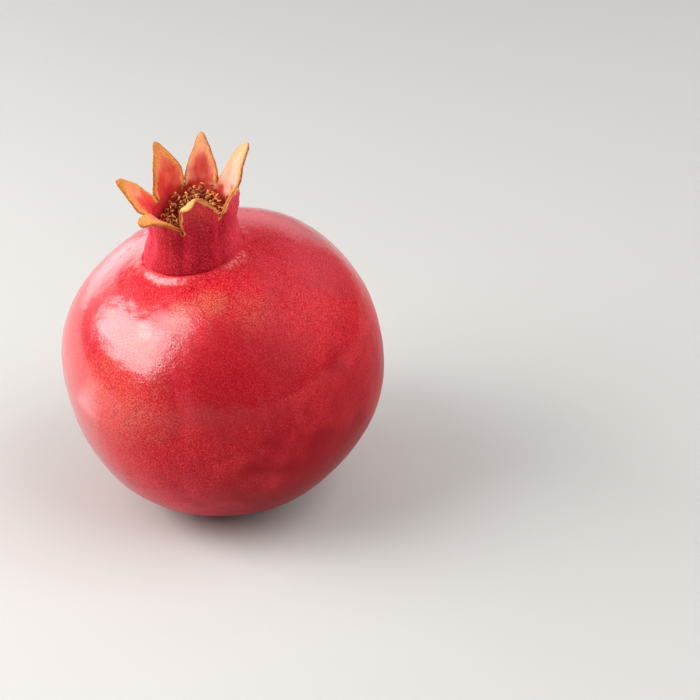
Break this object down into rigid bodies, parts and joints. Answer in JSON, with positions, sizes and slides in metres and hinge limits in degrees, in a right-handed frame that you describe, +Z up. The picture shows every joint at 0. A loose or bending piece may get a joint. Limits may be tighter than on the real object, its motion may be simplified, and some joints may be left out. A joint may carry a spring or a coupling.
{
  "type": "pomegranate",
  "caption": "Whole round pomegranate with leathery skin, an upright calyx crown of pointed sepals, dried stamens inside the crown and a cut stalk in the hollow underneath.",
  "frame": {"origin": "centre of the flat spot that the fruit rests on", "axes": "+Z up from the surface it rests on; the crown leans 13.6 degrees to the front left, towards -X and -Y"},
  "size_m": [0.0931, 0.0918, 0.1139],
  "materials": {
    "skin": "satin, waxed, finely freckled red skin, dry golden brown on the sepals' margins",
    "stamens": "dry and matt, dark red-brown filaments with golden anthers",
    "stalk": "dry, matt, fibrous cut end"
  },
  "bodies": {
    "root": {"fruit": "skin", "stamens": "stamens", "stalk": "stalk"}
  },
  "joints": []
}
